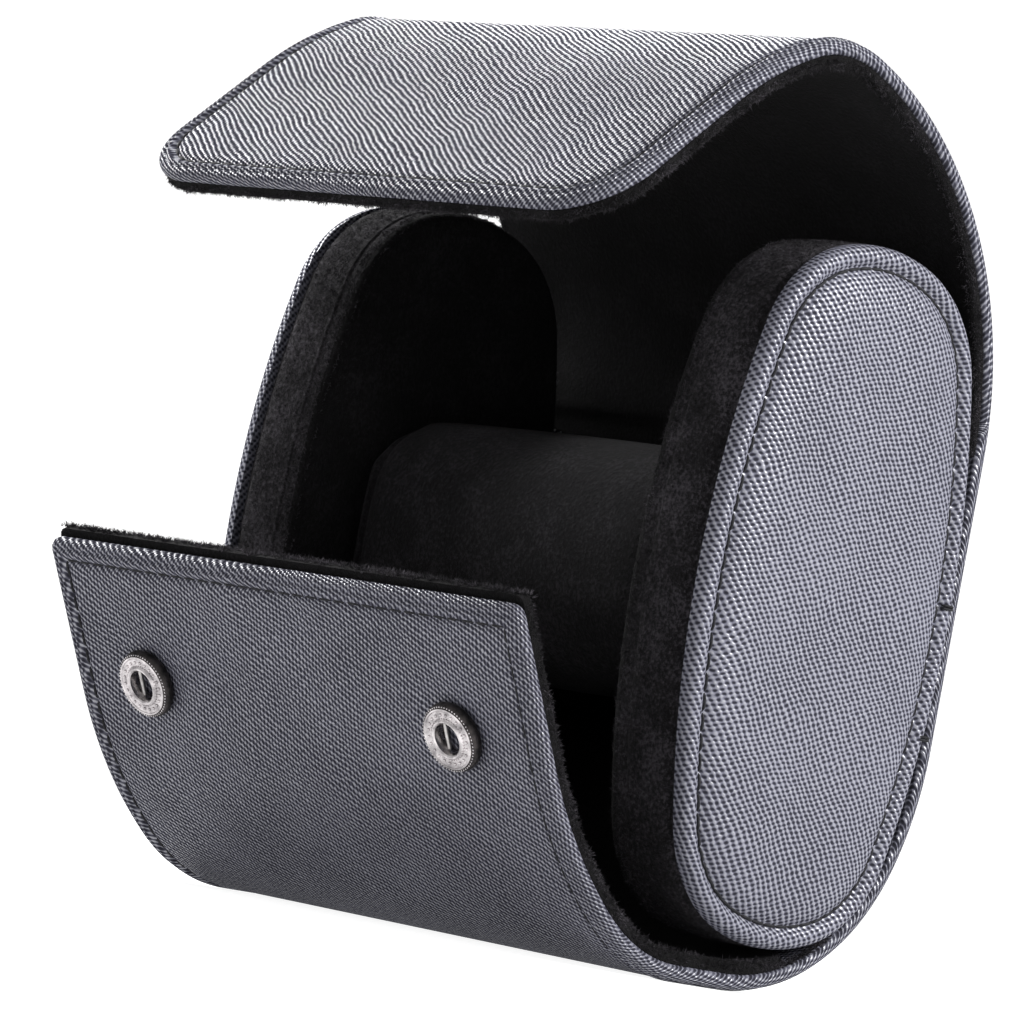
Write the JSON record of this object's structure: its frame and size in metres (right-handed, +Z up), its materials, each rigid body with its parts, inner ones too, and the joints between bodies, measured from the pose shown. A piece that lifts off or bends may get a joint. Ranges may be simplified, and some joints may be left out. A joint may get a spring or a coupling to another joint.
{
  "type": "watch travel case",
  "caption": "Padded leather wrap with oval end pads, a lid and a front flap closed by press studs, and a removable watch cushion.",
  "frame": {"origin": "middle of the flat foot that the wrap stands on", "axes": "+X runs along the case from end to end, -Y is the front where the lid and the flap open, +Z is up"},
  "size_m": [0.1098, 0.098, 0.1447],
  "materials": {
    "saffiano_leather": "cross-hatched grey leather",
    "black_suede": "black suede lining",
    "stiff_board": "plain greyboard",
    "foam": "open foam",
    "nickel": "dark nickel plate",
    "spring_wire": "drawn wire",
    "thread": "waxed thread"
  },
  "bodies": {
    "case": {"spine_leather": "saffiano_leather", "spine_board": "stiff_board", "bottom_lining": "black_suede", "back_lining": "black_suede", "bar_tacks": "thread", "left_pad_face": "saffiano_leather", "left_pad_padding": "foam", "left_pad_core": "stiff_board", "left_pad_band": "black_suede", "left_pad_foam": "foam", "left_pad_cover": "black_suede", "right_pad_face": "saffiano_leather", "right_pad_padding": "foam", "right_pad_core": "stiff_board", "right_pad_band": "black_suede", "right_pad_foam": "foam", "right_pad_cover": "black_suede"},
    "flap": {"flap_leather": "saffiano_leather", "flap_board": "stiff_board", "flap_lining": "black_suede", "left_socket": "nickel", "left_socket_rivet": "nickel", "left_socket_spring": "spring_wire", "right_socket": "nickel", "right_socket_rivet": "nickel", "right_socket_spring": "spring_wire"},
    "crown_rear": {"crown_rear_leather": "saffiano_leather", "crown_rear_board": "stiff_board", "crown_rear_lining": "black_suede"},
    "crown_top": {"crown_top_leather": "saffiano_leather", "crown_top_board": "stiff_board", "crown_top_lining": "black_suede"},
    "lid": {"lid_leather": "saffiano_leather", "lid_board": "stiff_board", "lid_lining": "black_suede", "left_stud": "nickel", "right_stud": "nickel"},
    "cushion": {"cushion_cover": "black_suede", "cushion_foam": "foam", "cushion_sleeve": "stiff_board"}
  },
  "joints": [
    {"name": "flap_hinge", "type": "hinge", "parent": "case", "child": "flap", "pos_m": [0, -0.00763, 0.00449], "axis": [-1, 0, 0], "range_deg": [-15, 31]},
    {"name": "lid_hinge", "type": "hinge", "parent": "case", "child": "crown_rear", "pos_m": [0, 0.03866, 0.09216], "axis": [1, 0, 0], "range_deg": [-5, 10]},
    {"name": "crown_fold", "type": "hinge", "parent": "crown_rear", "child": "crown_top", "pos_m": [0, 0.03349, 0.11169], "axis": [1, 0, 0], "range_deg": [-9, 18]},
    {"name": "lid_fold", "type": "hinge", "parent": "crown_top", "child": "lid", "pos_m": [0, 0.02343, 0.12597], "axis": [1, 0, 0], "range_deg": [-4.75, 9.5]},
    {"name": "cushion_slide", "type": "slide", "parent": "case", "child": "cushion", "axis": [0, -0.9659, 0.2588], "range_m": [0, 0.1]}
  ],
  "couplings": [
    {"joint": "crown_fold", "follows": "lid_hinge", "ratio": 1.8},
    {"joint": "lid_fold", "follows": "lid_hinge", "ratio": 0.95}
  ]
}
